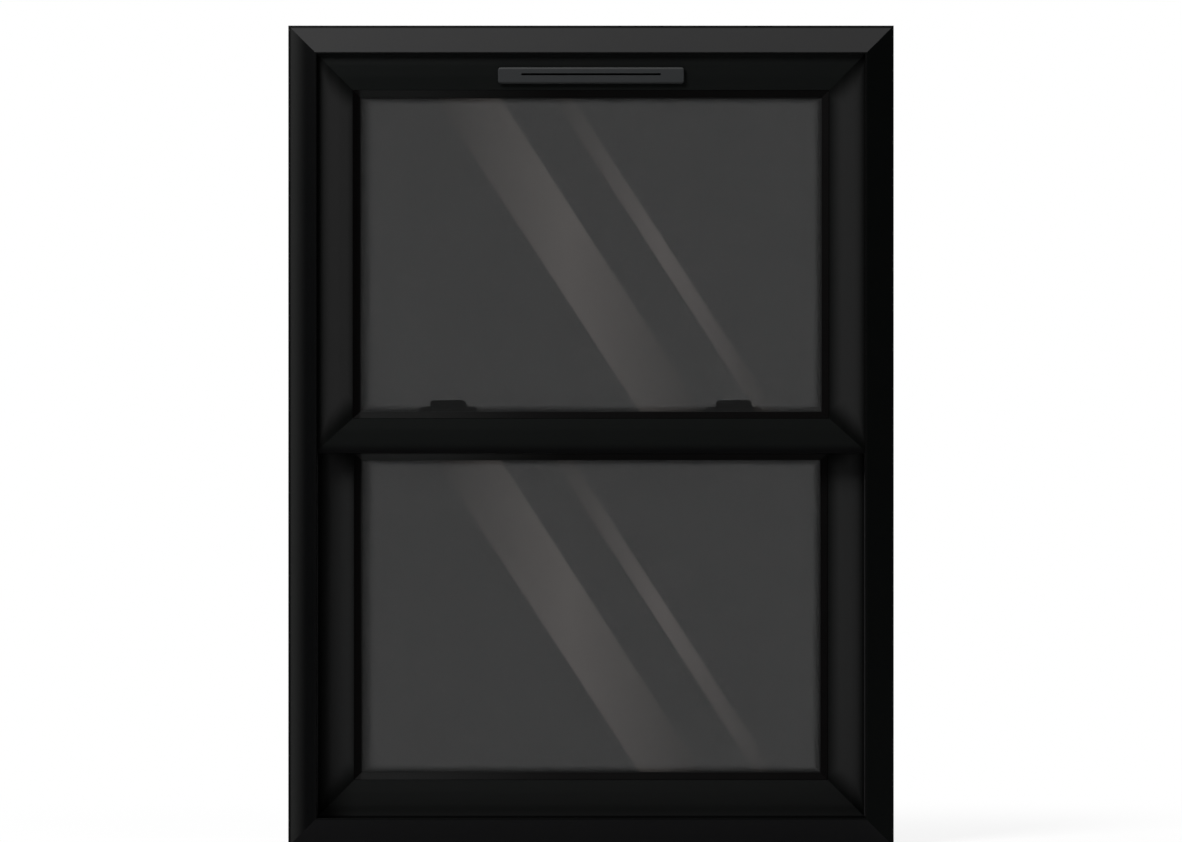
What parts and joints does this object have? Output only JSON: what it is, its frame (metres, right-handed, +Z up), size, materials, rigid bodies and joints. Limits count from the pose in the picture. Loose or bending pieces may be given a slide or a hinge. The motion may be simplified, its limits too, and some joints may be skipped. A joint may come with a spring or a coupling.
{
  "type": "sash window",
  "caption": "Vertical sliding sash window in its frame: two glazed sashes pass each other on spiral balances, with turn catches, finger lifts and a trickle vent.",
  "frame": {"origin": "middle of the sill's underside, at the middle of the frame's depth", "axes": "+X to the right seen from outdoors, +Y from the outdoor face to the room, +Z up"},
  "size_m": [0.885, 0.13, 1.2],
  "materials": {
    "frame_powder_coat": "extruded aluminium, black polyester powder coat, satin",
    "sash_powder_coat": "extruded aluminium, black polyester powder coat, satin",
    "bead_powder_coat": "extruded aluminium bead, black powder coat, satin",
    "mill_aluminium": "plain mill finish",
    "spacer_aluminium": "black anodised spacer bar, satin",
    "tinted_glass": "clear float with a dark grey solar tint",
    "clear_glass": "clear float glass",
    "gasket_rubber": "black weather gasket, matt",
    "brush_pile": "grey-black woven pile",
    "black_nylon": "moulded nylon, matt",
    "balance_steel": "zinc-plated twisted strip",
    "screw_steel": "blackened stainless steel",
    "vent_plastic": "dark grey moulded plastic, satin",
    "hardware_coat": "die-cast body, black powder coat, satin"
  },
  "bodies": {
    "frame": {"frame_head": "frame_powder_coat", "frame_sill": "frame_powder_coat", "frame_jamb_left": "frame_powder_coat", "frame_jamb_right": "frame_powder_coat", "frame_corner_cleats": "mill_aluminium", "interior_stops": "frame_powder_coat", "sill_infill": "frame_powder_coat", "frame_brush_seals": "brush_pile", "fixing_caps": "black_nylon", "travel_stops": "black_nylon", "upper_balance_tubes": "mill_aluminium", "lower_balance_tubes": "mill_aluminium", "balance_hangers": "black_nylon", "hanger_screws": "screw_steel"},
    "upper_sash": {"upper_top_rail": "sash_powder_coat", "upper_meeting_rail": "sash_powder_coat", "upper_stile_left": "sash_powder_coat", "upper_stile_right": "sash_powder_coat", "upper_corner_cleats": "mill_aluminium", "upper_outer_pane": "tinted_glass", "upper_inner_pane": "clear_glass", "upper_spacer_bar": "spacer_aluminium", "upper_outer_gasket": "gasket_rubber", "upper_inner_gasket": "gasket_rubber", "upper_glazing_beads": "bead_powder_coat", "upper_setting_blocks": "black_nylon", "upper_guide_pads": "black_nylon", "upper_brush_seals": "brush_pile", "upper_balance_rod_left": "balance_steel", "upper_balance_rod_right": "balance_steel", "vent_hood": "vent_plastic", "vent_grille": "vent_plastic", "catch_keepers": "hardware_coat", "keeper_screws": "screw_steel"},
    "lower_sash": {"lower_bottom_rail": "sash_powder_coat", "lower_meeting_rail": "sash_powder_coat", "lower_stile_left": "sash_powder_coat", "lower_stile_right": "sash_powder_coat", "lower_corner_cleats": "mill_aluminium", "lower_outer_pane": "tinted_glass", "lower_inner_pane": "clear_glass", "lower_spacer_bar": "spacer_aluminium", "lower_outer_gasket": "gasket_rubber", "lower_inner_gasket": "gasket_rubber", "lower_glazing_beads": "bead_powder_coat", "lower_setting_blocks": "black_nylon", "lower_guide_pads": "black_nylon", "lower_brush_seal": "brush_pile", "lower_balance_rod_left": "balance_steel", "lower_balance_rod_right": "balance_steel", "catch_bases": "hardware_coat", "finger_lifts": "hardware_coat", "lower_sash_screws": "screw_steel"},
    "vent_slider": {"vent_slider": "vent_plastic"},
    "catch_lever_left": {"catch_lever_left": "hardware_coat"},
    "catch_lever_right": {"catch_lever_right": "hardware_coat"},
    "upper_bush_left": {"upper_bush_left": "black_nylon"},
    "upper_bush_right": {"upper_bush_right": "black_nylon"},
    "lower_bush_left": {"lower_bush_left": "black_nylon"},
    "lower_bush_right": {"lower_bush_right": "black_nylon"}
  },
  "joints": [
    {"name": "upper_sash_slide", "type": "slide", "parent": "frame", "child": "upper_sash", "axis": [0, 0, 1], "range_m": [-0.48, 0], "stiffness_N_per_m": 30, "springref_m": 3.828},
    {"name": "lower_sash_slide", "type": "slide", "parent": "frame", "child": "lower_sash", "axis": [0, 0, 1], "range_m": [0, 0.48], "stiffness_N_per_m": 30, "springref_m": 4.3937},
    {"name": "vent_slide", "type": "slide", "parent": "upper_sash", "child": "vent_slider", "axis": [1, 0, 0], "range_m": [0, 0.01]},
    {"name": "left_catch_turn", "type": "hinge", "parent": "lower_sash", "child": "catch_lever_left", "pos_m": [-0.21, 0.023, 0.6434], "axis": [0, 0, -1], "range_deg": [0, 90]},
    {"name": "right_catch_turn", "type": "hinge", "parent": "lower_sash", "child": "catch_lever_right", "pos_m": [0.21, 0.023, 0.6434], "axis": [0, 0, 1], "range_deg": [0, 90]},
    {"name": "upper_bush_left_spin", "type": "hinge", "parent": "frame", "child": "upper_bush_left", "pos_m": [-0.4055, -0.029, 0.6163], "axis": [0, 0, 1], "range_deg": [0, 1440.5]},
    {"name": "upper_bush_right_spin", "type": "hinge", "parent": "frame", "child": "upper_bush_right", "pos_m": [0.4055, -0.029, 0.6163], "axis": [0, 0, 1], "range_deg": [0, 1440.5]},
    {"name": "lower_bush_left_spin", "type": "hinge", "parent": "frame", "child": "lower_bush_left", "pos_m": [-0.4055, 0.023, 0.6163], "axis": [0, 0, 1], "range_deg": [-1440.5, 0]},
    {"name": "lower_bush_right_spin", "type": "hinge", "parent": "frame", "child": "lower_bush_right", "pos_m": [0.4055, 0.023, 0.6163], "axis": [0, 0, 1], "range_deg": [-1440.5, 0]}
  ],
  "couplings": [
    {"joint": "upper_bush_left_spin", "follows": "upper_sash_slide", "rad_per_m": -52.36},
    {"joint": "upper_bush_right_spin", "follows": "upper_sash_slide", "rad_per_m": -52.36},
    {"joint": "lower_bush_left_spin", "follows": "lower_sash_slide", "rad_per_m": -52.36},
    {"joint": "lower_bush_right_spin", "follows": "lower_sash_slide", "rad_per_m": -52.36}
  ]
}
